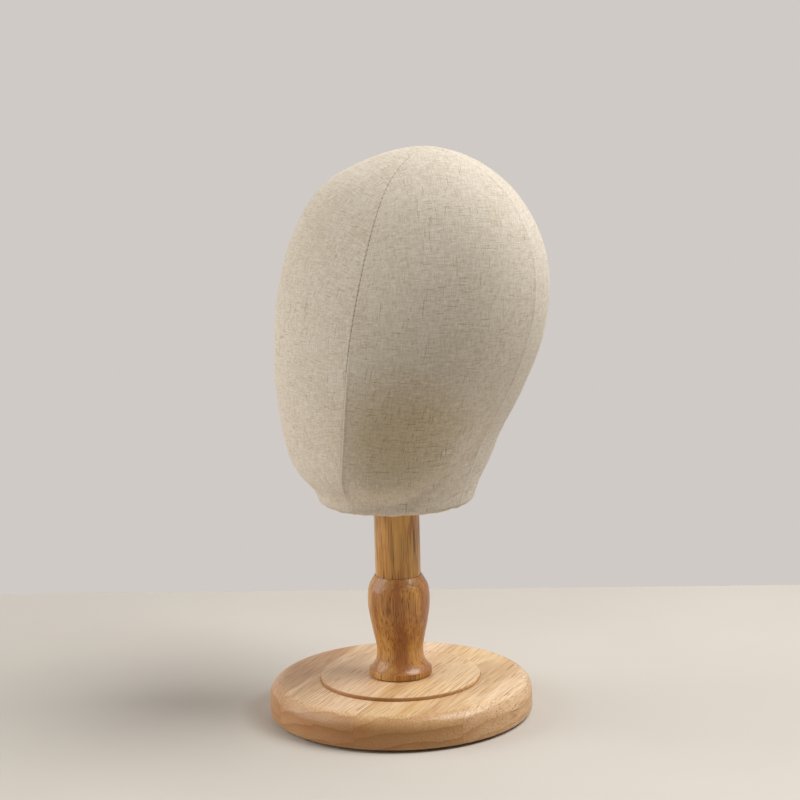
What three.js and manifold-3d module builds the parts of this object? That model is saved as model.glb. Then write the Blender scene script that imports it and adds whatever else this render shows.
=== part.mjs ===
// A head form for hats and wigs: a linen cover in four gores over a stuffed core, on a turned wooden
// post with a round base. Millimetres, +Z up. The origin is the centre of the underside, the face looks
// along -Y and the head's left ear is on +X.
import * as THREE from "three";
import { mergeVertices } from "three/addons/utils/BufferGeometryUtils.js";
import Module from "manifold-3d";

// Clearances
const SEAT_GAP = 0.3; // between neighbours that are fixed together
const RUNNING_GAP = 0.1; // radial, between pieces that turn or slide on each other
const SEAM_GAP = 0.6; // between two gores at the outside

// Felt pad under the base
const PAD_INSET = 6; // from the base's edge
const PAD_THICKNESS = 1.6;

// Turned base with a raised step
const BASE_RADIUS = 95;
const BASE_THICKNESS = 23.3;
const BASE_TOP_ROUND = 10;
const BASE_BOTTOM_ROUND = 3;
const STEP_RADIUS = 57.6;
const STEP_HEIGHT = 2.6;
const STEP_ROUND = 1.2;

// Bolt that holds the post to the base
const BOLT_RADIUS = 3.9;
const BOLT_REACH = 22; // of the shank above the top of the base
const BOLT_HEAD_RADIUS = 7.4;
const BOLT_HEAD_HEIGHT = 5.2;
const BOLT_SOCKET_RADIUS = 3.4;
const BOLT_SOCKET_DEPTH = 3;
const WASHER_RADIUS = 11;
const WASHER_THICKNESS = 1.6;
const BOLT_RECESS = 1.6; // from the base's underside to the bolt's head
const INSERT_WALL = 1.8;
const INSERT_LENGTH = 20;

// Turned post
const POST_RADIUS = 16.3;
const POST_HEIGHT = 128.6; // from the base to the shoulder that the head rests on
const FOOT_RADIUS = 22.7;
const FOOT_HEIGHT = 5;
const FOOT_ROUND = 1.2;
const WAIST_RADIUS = 16.6;
const BELLY_RADIUS = 22.4;
const TURNING_HEIGHT = 74.8; // from the foot to where the belly's top meets the plain length
const LIP = 0.7; // fine ring where the belly ends

// Spigot on top of the post, and the sleeve that turns on it
const SHOULDER_WIDTH = 3.3;
const SPIGOT_HEIGHT = 70;
const SPIGOT_CHAMFER = 1;
const SLEEVE_WALL = 1.2;

// Linen, board and block inside the head
const CLOTH_THICKNESS = 1.2;
const BOARD_THICKNESS = 6;
const BLOCK_WALL = 15.6;
const BLOCK_ROOF = 12; // wood above the end of the bore
const SCREW_COUNT = 3;
const SCREW_RADIUS = 1.8;
const SCREW_HEAD_RADIUS = 3.8;
const SCREW_HEAD_HEIGHT = 2.6;
const SCREW_REACH = 18; // into the block
const SCREW_TIP = 3;

// Head form
const HEAD_HEIGHT = 252;
const HEAD_WIDTH = 172;
const HEAD_LENGTH = 204;
const NECK_RADIUS = 54.5;
const NECK_FLARE = 0.257; // growth of the neck's radius for each millimetre up
const NECK_BLEND = 2; // softness of the line where the skull meets the neck
const RIM_ROUND = 4;
const SEAM_CREASE = 0.17; // how far the side seams stand out as an edge, as a share of the half width
const SECTION_POWER = 2.1; // 2 is an ellipse, more is squarer
// Sections by height. Reaches run from the line of the ears: front and back as shares of the length,
// side as a share of the half width.
const SECTIONS = [
  { up: 0, front: 0.147, back: 0.206, side: 0.465 },
  { up: 0.09, front: 0.387, back: 0.265, side: 0.84 },
  { up: 0.2, front: 0.48, back: 0.294, side: 0.947 },
  { up: 0.33, front: 0.532, back: 0.36, side: 1 },
  { up: 0.47, front: 0.551, back: 0.425, side: 0.986 },
  { up: 0.61, front: 0.544, back: 0.456, side: 0.895 },
  { up: 0.75, front: 0.498, back: 0.434, side: 0.749 },
  { up: 0.88, front: 0.402, back: 0.346, side: 0.548 },
  { up: 1, front: 0, back: 0, side: 0 },
];
// How far the line of the ears lies behind the post's axis, as a share of the length
const EAR_LINE = [
  { up: 0, behind: 0 },
  { up: 0.3, behind: 0.094 },
  { up: 0.6, behind: 0.129 },
  { up: 1, behind: 0.146 },
];
const CREASE_START = 0.06; // share of the height over which the crease grows in above the rim
const CREASE_FADE_FROM = 0.3;
const CREASE_END = 0.85;
const NECK_TOP = 0.45; // share of the height above which the neck no longer shapes the head

// Fineness of the facets
const ROUND_STEPS = 48;
const BASE_STEPS = 72;
const HEAD_ROWS = [
  0.03, 0.06, 0.1, 0.145, 0.2, 0.27, 0.34, 0.42, 0.5, 0.58, 0.66, 0.74, 0.81, 0.87, 0.92, 0.96, 0.985,
  0.997,
]; // shares of the head's height
const GORE_COLUMNS = 10;

// Heights and radii that follow from the sizes above
const baseBottom = PAD_THICKNESS + SEAT_GAP;
const deckTop = baseBottom + BASE_THICKNESS;
const stepTop = deckTop + STEP_HEIGHT;
const postFoot = stepTop + SEAT_GAP;
const shoulder = postFoot + POST_HEIGHT;
const spigotTop = shoulder + SPIGOT_HEIGHT;
const headBottom = shoulder + SEAT_GAP;
const boardBottom = headBottom + CLOTH_THICKNESS + SEAT_GAP;
const boardTop = boardBottom + BOARD_THICKNESS;
const blockBottom = boardTop + SEAT_GAP;
const boreEnd = spigotTop + SEAT_GAP;
const blockTop = boreEnd + BLOCK_ROOF;
const spigotRadius = POST_RADIUS - SHOULDER_WIDTH;
const sleeveInner = spigotRadius + RUNNING_GAP;
const sleeveOuter = sleeveInner + SLEEVE_WALL;
const boreRadius = sleeveOuter + RUNNING_GAP;
const blockRadius = boreRadius + BLOCK_WALL;
const screwCircle = boreRadius + BLOCK_WALL / 2;
const hemRadius = NECK_RADIUS - RIM_ROUND - 2 * SEAT_GAP;
const boltSeat = baseBottom + BOLT_RECESS + BOLT_HEAD_HEIGHT;
const washerTop = boltSeat + SEAT_GAP + WASHER_THICKNESS;
const boltHole = BOLT_RADIUS + SEAT_GAP;
const boltEnd = stepTop + BOLT_REACH;
const insertRadius = boltHole + INSERT_WALL;
const insertBottom = postFoot + SEAT_GAP;

const wasm = await Module();
wasm.setup();

function toSolid(geometry) {
  const bare = new THREE.BufferGeometry();
  bare.setAttribute("position", geometry.getAttribute("position"));
  bare.setIndex(geometry.index);
  const merged = mergeVertices(bare, 1e-4);
  const mesh = new wasm.Mesh({
    numProp: 3,
    vertProperties: merged.attributes.position.array,
    triVerts: new Uint32Array(merged.index.array),
  });
  return new wasm.Manifold(mesh);
}

function toGeometry(solid) {
  const mesh = solid.getMesh();
  const geometry = new THREE.BufferGeometry();
  geometry.setAttribute("position", new THREE.BufferAttribute(mesh.vertProperties, 3));
  geometry.setIndex(new THREE.BufferAttribute(mesh.triVerts, 1));
  geometry.computeVertexNormals();
  return geometry;
}

// A body turned about the Z axis from points [radius, height]
function turned(profile, steps = ROUND_STEPS) {
  const points = profile.map(([radius, height]) => new THREE.Vector2(radius, height));
  return new THREE.LatheGeometry(points, steps).rotateX(Math.PI / 2);
}

// A tube or a plain disc between two heights
function ring(inner, outer, low, high, steps = ROUND_STEPS) {
  const profile = [
    [inner, low],
    [outer, low],
    [outer, high],
    [inner, high],
  ];
  if (inner > 0) profile.push([inner, low]);
  return turned(profile, steps);
}

// Points on an arc about [radius, height], angles in degrees
function arc(radius, height, size, from, to, count) {
  return Array.from({ length: count + 1 }, (_, i) => {
    const angle = THREE.MathUtils.degToRad(from + ((to - from) * i) / count);
    return [radius + size * Math.cos(angle), height + size * Math.sin(angle)];
  });
}

// A smooth value between stations, each a pair [up, value]
function between(stations, up) {
  const last = stations.length - 1;
  const slope = (i) => {
    const [a, b] = [stations[Math.max(i - 1, 0)], stations[Math.min(i + 1, last)]];
    return (b[1] - a[1]) / (b[0] - a[0]);
  };
  let i = 0;
  while (i < last - 1 && up >= stations[i + 1][0]) i += 1;
  const width = stations[i + 1][0] - stations[i][0];
  const s = (up - stations[i][0]) / width;
  const rise = stations[i + 1][1] - stations[i][1];
  const [start, end] = [slope(i) * width, slope(i + 1) * width];
  return (
    stations[i][1] +
    start * s +
    (3 * rise - 2 * start - end) * s * s +
    (start + end - 2 * rise) * s * s * s
  );
}

// Reaches are squared before they are joined, so that the crown closes round
function reachAt(side, size, up) {
  const squares = SECTIONS.map((section) => [section.up, (section[side] * size) ** 2]);
  return Math.sqrt(Math.max(between(squares, up), 0));
}

function creaseAt(up) {
  const growing = Math.min(up / CREASE_START, 1);
  const fading = Math.min(Math.max((CREASE_END - up) / (CREASE_END - CREASE_FADE_FROM), 0), 1);
  return SEAM_CREASE * growing * fading;
}

// The outside of the cloth at a share of the head's height and a turn, in radians from the left ear
// towards the back
function skin(up, turn) {
  const power = 2 / SECTION_POWER;
  const along = Math.sign(Math.sin(turn)) * Math.abs(Math.sin(turn)) ** power;
  const across = Math.sign(Math.cos(turn)) * Math.abs(Math.cos(turn)) ** power;
  const side = reachAt("side", HEAD_WIDTH / 2, up);
  const reach = reachAt(along > 0 ? "back" : "front", HEAD_LENGTH, up);
  const ears = between(EAR_LINE.map((station) => [station.up, station.behind]), up) * HEAD_LENGTH;
  const crease = creaseAt(up);
  const x = side * ((1 - crease) * across + crease * (1 - Math.abs(along)) * Math.sign(across));
  const y = ears + reach * along;
  const height = up * HEAD_HEIGHT;
  const skull = Math.hypot(x, y) || 1e-9;
  let radius = skull;
  if (up < NECK_TOP) {
    const neck = NECK_RADIUS + NECK_FLARE * height;
    radius = (skull + neck + Math.hypot(skull - neck, NECK_BLEND)) / 2;
  }
  if (height < RIM_ROUND) {
    const above = RIM_ROUND - height;
    radius -= RIM_ROUND - Math.sqrt(RIM_ROUND ** 2 - above ** 2);
  }
  return new THREE.Vector3((x * radius) / skull, (y * radius) / skull, headBottom + height);
}

// A point under the skin, moved in square to the surface
function underSkin(up, turn, depth) {
  const [small, low, high] = [5e-4, Math.max(up - 5e-4, 0), Math.min(up + 5e-4, 1)];
  const around = skin(up, turn + small).sub(skin(up, turn - small));
  const upwards = skin(high, turn).sub(skin(low, turn));
  return skin(up, turn).addScaledVector(around.cross(upwards).normalize(), -depth);
}

// Heights of the rows of points: a quarter circle at the rim, then rows up to the crown, where the gores
// leave a small eye
function rowHeights() {
  const rim = [0, 30, 60, 90].map((angle) => 1 - Math.cos(THREE.MathUtils.degToRad(angle)));
  const rows = rim.map((share) => (share * RIM_ROUND) / HEAD_HEIGHT);
  return [...rows, ...HEAD_ROWS, 1 - 2e-4];
}

// Turns of one row's points within a gore, from seam to seam. quarter 0 is back left, 1 back right,
// 2 front right and 3 front left.
function turnsOf(quarter, up) {
  const half = reachAt("side", HEAD_WIDTH / 2, up);
  const reach = reachAt(quarter < 2 ? "back" : "front", HEAD_LENGTH, up);
  const edge = (size) => (SEAM_GAP / 2 / size) ** (SECTION_POWER / 2);
  const [first, last] = quarter % 2 ? [edge(half), edge(reach)] : [edge(reach), edge(half)];
  const start = quarter * (Math.PI / 2) + first;
  const end = (quarter + 1) * (Math.PI / 2) - last;
  return Array.from({ length: GORE_COLUMNS + 1 }, (_, i) => start + ((end - start) * i) / GORE_COLUMNS);
}

function bodyFrom(points, faces) {
  const geometry = new THREE.BufferGeometry().setFromPoints(points);
  geometry.setIndex(faces.flat());
  geometry.computeVertexNormals();
  return geometry;
}

// One gore of the cover: a sheet between two seams, closed by its thickness
function gore(quarter) {
  const rows = rowHeights();
  const outer = rows.flatMap((up) => turnsOf(quarter, up).map((turn) => skin(up, turn)));
  const inner = rows.flatMap((up) =>
    turnsOf(quarter, up).map((turn) => underSkin(up, turn, CLOTH_THICKNESS)),
  );
  const width = GORE_COLUMNS + 1;
  const under = outer.length;
  const top = under - width;
  const faces = [];
  const quad = (a, b, c, d) => faces.push([a, b, c], [a, c, d]);
  for (let row = 0; row < rows.length - 1; row += 1) {
    const left = row * width;
    const right = left + GORE_COLUMNS;
    for (let a = left; a < right; a += 1) {
      quad(a, a + 1, a + 1 + width, a + width);
      quad(under + a, under + a + width, under + a + 1 + width, under + a + 1);
    }
    quad(under + left, left, left + width, under + left + width);
    quad(right, under + right, under + right + width, right + width);
  }
  for (let column = 0; column < GORE_COLUMNS; column += 1) {
    quad(under + column, under + column + 1, column + 1, column);
    quad(top + column, top + column + 1, under + top + column + 1, under + top + column);
  }
  return bodyFrom([...outer, ...inner], faces);
}

// The stuffed core: the skin's shape less the cloth, cut flat above the board, with the block's hole
function stuffedCore() {
  const depth = CLOTH_THICKNESS + SEAT_GAP;
  const rows = rowHeights().filter((up) => up * HEAD_HEIGHT > RIM_ROUND - 0.01);
  const rings = rows.map((up) =>
    [0, 1, 2, 3].flatMap((quarter) => turnsOf(quarter, up).map((turn) => underSkin(up, turn, depth))),
  );
  const count = rings[0].length;
  const points = rings.flat();
  const top = points.length - count;
  const floor = points.push(new THREE.Vector3(0, 0, blockBottom)) - 1;
  const crown = points.push(underSkin(1 - 1e-6, 0, depth)) - 1;
  const faces = [];
  for (let i = 0; i < count; i += 1) {
    const next = (i + 1) % count;
    for (let low = 0; low < top; low += count) {
      const [a, b] = [low + i, low + next];
      faces.push([a, b, b + count], [a, b + count, a + count]);
    }
    faces.push([floor, next, i], [crown, top + i, top + next]);
  }
  const below = ring(0, HEAD_LENGTH, headBottom - 1, blockBottom);
  const hole = ring(0, blockRadius + SEAT_GAP, headBottom, blockTop + SEAT_GAP);
  const whole = toSolid(bodyFrom(points, faces));
  return toGeometry(whole.subtract(toSolid(below)).subtract(toSolid(hole)));
}

function base() {
  const seat = washerTop + SEAT_GAP;
  const counterbore = WASHER_RADIUS + 2 * SEAT_GAP;
  const under = arc(
    BASE_RADIUS - BASE_BOTTOM_ROUND, baseBottom + BASE_BOTTOM_ROUND, BASE_BOTTOM_ROUND, -90, 0, 3,
  );
  const over = arc(BASE_RADIUS - BASE_TOP_ROUND, deckTop - BASE_TOP_ROUND, BASE_TOP_ROUND, 0, 90, 7);
  const step = arc(STEP_RADIUS - STEP_ROUND, stepTop - STEP_ROUND, STEP_ROUND, 0, 90, 3);
  const cove = arc(STEP_RADIUS + STEP_ROUND, deckTop + STEP_ROUND, STEP_ROUND, 270, 180, 3);
  const profile = [
    [boltHole, seat],
    [counterbore, seat],
    [counterbore, baseBottom],
    ...under,
    ...over,
    ...cove,
    ...step,
    [boltHole, stepTop],
    [boltHole, seat],
  ];
  return turned(profile, BASE_STEPS);
}

// The foot's cove, the waist and the belly, up to the fine ring under the plain length
function turnedLength() {
  const swell = (low, high, share) => low + (high - low) * share;
  const outline = [
    [FOOT_RADIUS - FOOT_ROUND, (FOOT_HEIGHT + FOOT_ROUND / 2) / TURNING_HEIGHT],
    [swell(WAIST_RADIUS, FOOT_RADIUS, 0.39), 0.118],
    [swell(WAIST_RADIUS, FOOT_RADIUS, 0.13), 0.16],
    [WAIST_RADIUS, 0.247],
    [swell(WAIST_RADIUS, BELLY_RADIUS, 0.24), 0.368],
    [swell(WAIST_RADIUS, BELLY_RADIUS, 0.66), 0.521],
    [BELLY_RADIUS, 0.749],
    [swell(POST_RADIUS, BELLY_RADIUS, 0.83), 0.882],
    [swell(POST_RADIUS, BELLY_RADIUS, 0.52), 0.933],
    [POST_RADIUS + LIP, 0.987],
  ];
  const curve = new THREE.SplineCurve(
    outline.map(([radius, share]) => new THREE.Vector2(radius, postFoot + share * TURNING_HEIGHT)),
  );
  return curve.getPoints(24).map((point) => [point.x, point.y]);
}

function post() {
  const holeRadius = insertRadius + SEAT_GAP;
  const holeTop = Math.max(insertBottom + INSERT_LENGTH, boltEnd) + SEAT_GAP;
  const foot = arc(FOOT_RADIUS - FOOT_ROUND, postFoot + FOOT_HEIGHT - FOOT_ROUND, FOOT_ROUND, 0, 60, 2);
  const profile = [
    [0, holeTop],
    [holeRadius, holeTop],
    [holeRadius, postFoot],
    [FOOT_RADIUS - FOOT_ROUND, postFoot],
    [FOOT_RADIUS, postFoot + FOOT_ROUND],
    ...foot,
    ...turnedLength(),
    [POST_RADIUS, postFoot + TURNING_HEIGHT],
    [POST_RADIUS, shoulder],
    [spigotRadius, shoulder],
    [spigotRadius, spigotTop - SPIGOT_CHAMFER],
    [spigotRadius - SPIGOT_CHAMFER, spigotTop],
    [0, spigotTop],
  ];
  return turned(profile);
}

function bolt() {
  const face = boltSeat - BOLT_HEAD_HEIGHT;
  const head = ring(0, BOLT_HEAD_RADIUS, face, boltSeat, 6);
  const shank = ring(0, BOLT_RADIUS, boltSeat - 1, boltEnd, 24);
  const socket = ring(0, BOLT_SOCKET_RADIUS, face - 1, face + BOLT_SOCKET_DEPTH, 6);
  return toGeometry(toSolid(head).add(toSolid(shank)).subtract(toSolid(socket)));
}

// A countersunk wood screw at the origin, its head's face at height 0. grow widens it, to cut its hole.
function screwShape(grow) {
  const cone = SCREW_HEAD_HEIGHT;
  const tip = BOARD_THICKNESS + SCREW_REACH;
  return turned(
    [
      [0, -grow],
      [SCREW_HEAD_RADIUS + grow, -grow],
      [SCREW_HEAD_RADIUS + grow, grow],
      [SCREW_RADIUS + grow, cone + grow],
      [SCREW_RADIUS + grow, tip - SCREW_TIP + grow],
      [0, tip + grow],
    ],
    12,
  );
}

function screwAt(index, grow = 0) {
  const turn = (index / SCREW_COUNT) * Math.PI * 2 + Math.PI / 2;
  const [x, y] = [screwCircle * Math.cos(turn), screwCircle * Math.sin(turn)];
  return screwShape(grow).translate(x, y, boardBottom);
}

function drilledForScrews(geometry) {
  let solid = toSolid(geometry);
  for (let i = 0; i < SCREW_COUNT; i += 1) solid = solid.subtract(toSolid(screwAt(i, SEAT_GAP)));
  return toGeometry(solid);
}

// The board fits inside the cover's rounded rim
function boardRadius() {
  const inside = RIM_ROUND - CLOTH_THICKNESS;
  const above = RIM_ROUND - (boardBottom - headBottom);
  return NECK_RADIUS - RIM_ROUND + Math.sqrt(Math.max(inside ** 2 - above ** 2, 0)) - 2 * SEAT_GAP;
}

function block() {
  const profile = [
    [0, boreEnd],
    [boreRadius, boreEnd],
    [boreRadius, blockBottom],
    [blockRadius, blockBottom],
    [blockRadius, blockTop],
    [0, blockTop],
  ];
  return drilledForScrews(turned(profile));
}

const FINISHES = {
  linen: { color: 0xc2b49e, roughness: 0.95, metalness: 0 },
  paleWood: { color: 0xd2aa78, roughness: 0.45, metalness: 0 },
  honeyWood: { color: 0xa97240, roughness: 0.4, metalness: 0 },
  felt: { color: 0x3a352f, roughness: 0.95, metalness: 0 },
  steel: { color: 0xb4b6b8, roughness: 0.35, metalness: 1 },
  brass: { color: 0xb5924c, roughness: 0.35, metalness: 1 },
  board: { color: 0xb89a6c, roughness: 0.8, metalness: 0 },
  filling: { color: 0xe9e4d8, roughness: 0.9, metalness: 0 },
  sleeve: { color: 0xd9d4c6, roughness: 0.5, metalness: 0 },
};

function piece(name, geometry, finish) {
  const mesh = new THREE.Mesh(geometry, new THREE.MeshStandardMaterial(FINISHES[finish]));
  mesh.name = name;
  return mesh;
}

const pad = ring(0, BASE_RADIUS - PAD_INSET, 0, PAD_THICKNESS, BASE_STEPS);
const washer = ring(boltHole, WASHER_RADIUS, washerTop - WASHER_THICKNESS, washerTop, 24);
const insert = ring(boltHole, insertRadius, insertBottom, insertBottom + INSERT_LENGTH, 24);
const stand = new THREE.Group();
stand.add(
  piece("felt_pad", pad, "felt"),
  piece("base", base(), "paleWood"),
  piece("base_bolt", bolt(), "steel"),
  piece("base_washer", washer, "steel"),
  piece("post_insert", insert, "brass"),
  piece("post", post(), "honeyWood"),
);

const turning = new THREE.Group();
turning.add(piece("spigot_sleeve", ring(sleeveInner, sleeveOuter, headBottom, spigotTop), "sleeve"));

const underside = ring(boreRadius, hemRadius, headBottom, headBottom + CLOTH_THICKNESS);
const board = ring(boreRadius, boardRadius(), boardBottom, boardTop);
const head = new THREE.Group();
head.add(
  piece("underside_cloth", underside, "linen"),
  piece("neck_board", drilledForScrews(board), "board"),
  piece("socket_block", block(), "paleWood"),
  piece("head_core", stuffedCore(), "filling"),
);
for (let i = 0; i < SCREW_COUNT; i += 1) head.add(piece(`board_screw_${i + 1}`, screwAt(i), "steel"));
const gores = ["cover_back_left", "cover_back_right", "cover_front_right", "cover_front_left"];
gores.forEach((name, quarter) => head.add(piece(name, gore(quarter), "linen")));

const mannequinHead = new THREE.Group();
mannequinHead.add(stand, turning, head);

export default mannequinHead;
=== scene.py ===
"""Looks of a linen head form on its turned wooden stand. Metres, +Z up, the face looks along -Y."""

import math

import bpy
import numpy as np
from mathutils import Matrix, Vector


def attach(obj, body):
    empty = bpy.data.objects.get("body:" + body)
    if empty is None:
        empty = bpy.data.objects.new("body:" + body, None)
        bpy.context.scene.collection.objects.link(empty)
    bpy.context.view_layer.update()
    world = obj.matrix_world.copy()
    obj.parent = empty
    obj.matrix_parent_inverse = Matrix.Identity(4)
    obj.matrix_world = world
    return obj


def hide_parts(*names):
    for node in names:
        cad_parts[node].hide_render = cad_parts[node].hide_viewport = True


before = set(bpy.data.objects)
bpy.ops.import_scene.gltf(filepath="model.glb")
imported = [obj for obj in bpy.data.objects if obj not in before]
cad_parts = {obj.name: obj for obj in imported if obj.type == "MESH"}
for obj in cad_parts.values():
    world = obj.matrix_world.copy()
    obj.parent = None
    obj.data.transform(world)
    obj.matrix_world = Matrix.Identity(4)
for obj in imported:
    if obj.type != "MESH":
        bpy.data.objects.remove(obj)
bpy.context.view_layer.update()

# Stand
FELT_RADIUS = 0.089
FELT_THICKNESS = 0.0016
BASE_BOTTOM = 0.0019
BASE_RADIUS = 0.095
BASE_TOP_ROUND = 0.010
BASE_BOTTOM_ROUND = 0.0022
DECK_TOP = 0.0252
STEP_RADIUS = 0.0576
STEP_TOP = 0.0278
BOLT_HOLE = 0.0042
WASHER_POCKET = 0.0116
WASHER_SEAT = 0.0109
POST_FOOT = 0.0281
FOOT_RADIUS = 0.0227
POST_RADIUS = 0.0163
SHOULDER = 0.1567
SPIGOT_RADIUS = 0.013
SPIGOT_TOP = 0.2267
INSERT_HOLE = 0.0063
INSERT_HOLE_TOP = 0.0501
# The post's belly, radius and height above its foot
POST_SWELL = [
    (0.0215, 0.0056), (0.0203, 0.0069), (0.0190, 0.0088), (0.0174, 0.012), (0.0166, 0.0185), (0.0171, 0.0228),
    (0.0180, 0.0275), (0.0204, 0.039), (0.0219, 0.0485), (0.0224, 0.056), (0.0220, 0.0622), (0.0213, 0.066),
    (0.0195, 0.0698), (0.0176, 0.0730),
]
GRAIN_ON_DECK = 11.4  # degrees from +X to the grain of the base's boards
BOARD_WIDTH = 0.0676
BOARD_SHIFT = 0.0055  # from the post's axis to the nearest glue line, square to the grain
GRAIN_START = (0.31, 0.0, 0.0)  # where along its log a turned piece is cut

# Head
HEAD_BOTTOM = 0.157
HEAD_HEIGHT = 0.252
HEAD_WIDTH = 0.172
HEAD_LENGTH = 0.204
NECK_RADIUS = 0.0545
NECK_FLARE = 0.257
NECK_BLEND = 0.004
NECK_FADE = (0.45, 0.32)  # shares of the height: the neck starts to draw the form in, and has it whole
RIM_ROUND = 0.004
SEAM_CREASE = 0.17
SECTION_POWER = 2.1
# Share of the height, then shares of the length in front of and behind the line of the ears, and of half the width
SECTIONS = [
    (0, 0.147, 0.206, 0.465),
    (0.09, 0.387, 0.265, 0.84),
    (0.2, 0.48, 0.294, 0.947),
    (0.33, 0.532, 0.36, 1),
    (0.47, 0.551, 0.425, 0.986),
    (0.61, 0.544, 0.456, 0.895),
    (0.75, 0.498, 0.434, 0.749),
    (0.88, 0.396, 0.339, 0.548),
    (1, 0, 0, 0),
]
EAR_LINE = [(0, 0), (0.3, 0.094), (0.6, 0.129), (1, 0.146)]
CROWN_LEAN = 0.003  # how far the point where the gores meet lies behind the form's own crown
CLOTH_THICKNESS = 0.0006
THREAD_PITCH = 0.00058
STITCH_PITCH = 0.00345
NEEDLED_FROM = (0.40, 0.50)  # shares of the height between which the ear seams' stitches start to pull
SEAM_DIP = 0.055  # share of the height where the ear seams come in to the neck
# A browner area of the linen, low behind the left ear, partly darker flax and partly painted shade of the head's
# shaded lower side: its middle, and the radii where it starts and is whole
BROWNER_AND_SHADE_PLACE = (0.067, 0.056, 0.218)
BROWNER_AND_SHADE_REACH = (0.066, 0.012)
BLOCK_RADIUS = 0.0303
BLOCK_FLOOR = 0.1648
BLOCK_ROOF = 0.2393

# ---------------------------------------- camera

PHOTO_AZIMUTH = 125.4  # degrees: 0 is in front of the face, 90 at its left ear
CAMERA_TILT = 0.1874  # radians down from level
CAMERA_ROLL = -0.026
CAMERA_PLACE = (1.2879, 0.9209, 0.5295)
CAMERA_LENS = 102.29  # millimetres
CAMERA_SENSOR = 36


def place_camera():
    turn, tilt, roll = math.radians(PHOTO_AZIMUTH), CAMERA_TILT, CAMERA_ROLL
    level = Vector((math.cos(turn), math.sin(turn), 0))
    ahead = Vector((-math.sin(turn) * math.cos(tilt), math.cos(turn) * math.cos(tilt), -math.sin(tilt)))
    above = level.cross(ahead)
    right = level * math.cos(roll) + above * math.sin(roll)
    up = above * math.cos(roll) - level * math.sin(roll)
    axes = Matrix((right, up, -ahead)).transposed().to_4x4()
    bpy.ops.object.camera_add()
    camera = bpy.context.object
    camera.name = "photograph_camera"
    camera.matrix_world = Matrix.Translation(CAMERA_PLACE) @ axes
    camera.data.sensor_width = CAMERA_SENSOR
    camera.data.lens = CAMERA_LENS
    bpy.context.scene.camera = camera


place_camera()

# ---------------------------------------- shader benches


def colour(red, green, blue):
    """A linear colour from screen values of 0 to 255."""
    shares = (red / 255, green / 255, blue / 255)
    return (*(v / 12.92 if v <= 0.04045 else ((v + 0.055) / 1.055) ** 2.4 for v in shares), 1.0)


class Bench:
    """Places and wires the shader nodes of one tree. Colours are given as screen values of 0 to 255."""

    def __init__(self, tree):
        self.tree = tree
        self.shader = tree.nodes.get("Principled BSDF")

    def add(self, kind, inputs=None, output=0, **settings):
        node = self.tree.nodes.new("ShaderNode" + kind)
        for name, value in settings.items():
            setattr(node, name, value)
        for name, value in (inputs or {}).items():
            self.feed(node.inputs[name], value)
        return node if output is None else node.outputs[output]

    def feed(self, socket, value):
        if isinstance(value, bpy.types.NodeSocket):
            self.tree.links.new(value, socket)
        else:
            socket.default_value = colour(*value) if socket.type == "RGBA" else value

    def use(self, group, inputs):
        return self.add("Group", inputs, None, node_tree=group).outputs

    def math(self, operation, a, b=0.0, c=0.0, clamp=False):
        return self.add("Math", {0: a, 1: b, 2: c}, operation=operation, use_clamp=clamp)

    def mixed(self, a, share_a, b, share_b):
        """The sum of two values, each by its share."""
        return self.math("MULTIPLY_ADD", a, share_a, self.math("MULTIPLY", b, share_b))

    def vector(self, operation, a, b=(0.0, 0.0, 0.0)):
        length = operation in ("LENGTH", "DOT_PRODUCT", "DISTANCE")
        if operation == "SCALE":
            return self.add("VectorMath", {0: a, "Scale": b}, operation=operation)
        return self.add("VectorMath", {0: a, 1: b}, 1 if length else 0, operation=operation)

    def span(self, value, low, high, to_low=0.0, to_high=1.0, smooth=False):
        given = {0: value, 1: low, 2: high, 3: to_low, 4: to_high}
        return self.add("MapRange", given, interpolation_type="SMOOTHSTEP" if smooth else "LINEAR")

    def noise(self, position, scale, detail=0.0, roughness=0.5, distortion=0.0):
        """Soft noise. A scale of three numbers stretches it along the axes."""
        if isinstance(scale, tuple):
            position, scale = self.vector("MULTIPLY", position, scale), 1.0
        given = {"Vector": position, "Scale": scale, "Detail": detail}
        return self.add("TexNoise", {**given, "Roughness": roughness, "Distortion": distortion})

    def place(self):
        """Object coordinates."""
        return self.add("TexCoord", None, None).outputs["Object"]

    def axes(self, position):
        return tuple(self.add("SeparateXYZ", {0: position}, None).outputs)

    def point(self, x=0.0, y=0.0, z=0.0):
        return self.add("CombineXYZ", {0: x, 1: y, 2: z})

    def blend(self, share, a, b, how="MIX"):
        """Colours a and b mixed by a share."""
        return self.add("Mix", {0: share, 6: a, 7: b}, 2, data_type="RGBA", blend_type=how)

    def stops(self, share, colours, how="LINEAR"):
        """A colour ramp through (place, colour) stops."""
        node = self.add("ValToRGB", {0: share}, None)
        ramp = node.color_ramp
        ramp.interpolation = how
        while len(ramp.elements) < len(colours):
            ramp.elements.new(0.5)
        for element, (place, shade) in zip(ramp.elements, colours):
            element.position, element.color = place, colour(*shade)
        return node.outputs[0]

    def dress(self, base, relief, distance, strength=1.0):
        """The shader's colour, and the fine relief of its surface."""
        self.feed(self.shader.inputs["Base Color"], base)
        bump = self.add("Bump", {"Height": relief, "Distance": distance, "Strength": strength})
        self.feed(self.shader.inputs["Normal"], bump)


def effect(name, vectors, values, results):
    """A new node group with named sockets: the bench, what comes in, and where the results go."""
    tree = bpy.data.node_groups.new(name, "ShaderNodeTree")
    sockets = ("INPUT", "Vector", vectors), ("INPUT", "Float", values), ("OUTPUT", "Float", results)
    for way, kind, names in sockets:
        for socket in names:
            tree.interface.new_socket(name=socket, in_out=way, socket_type="NodeSocket" + kind)
    bench = Bench(tree)
    return bench, tree.nodes.new("NodeGroupInput").outputs, tree.nodes.new("NodeGroupOutput").inputs


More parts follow.
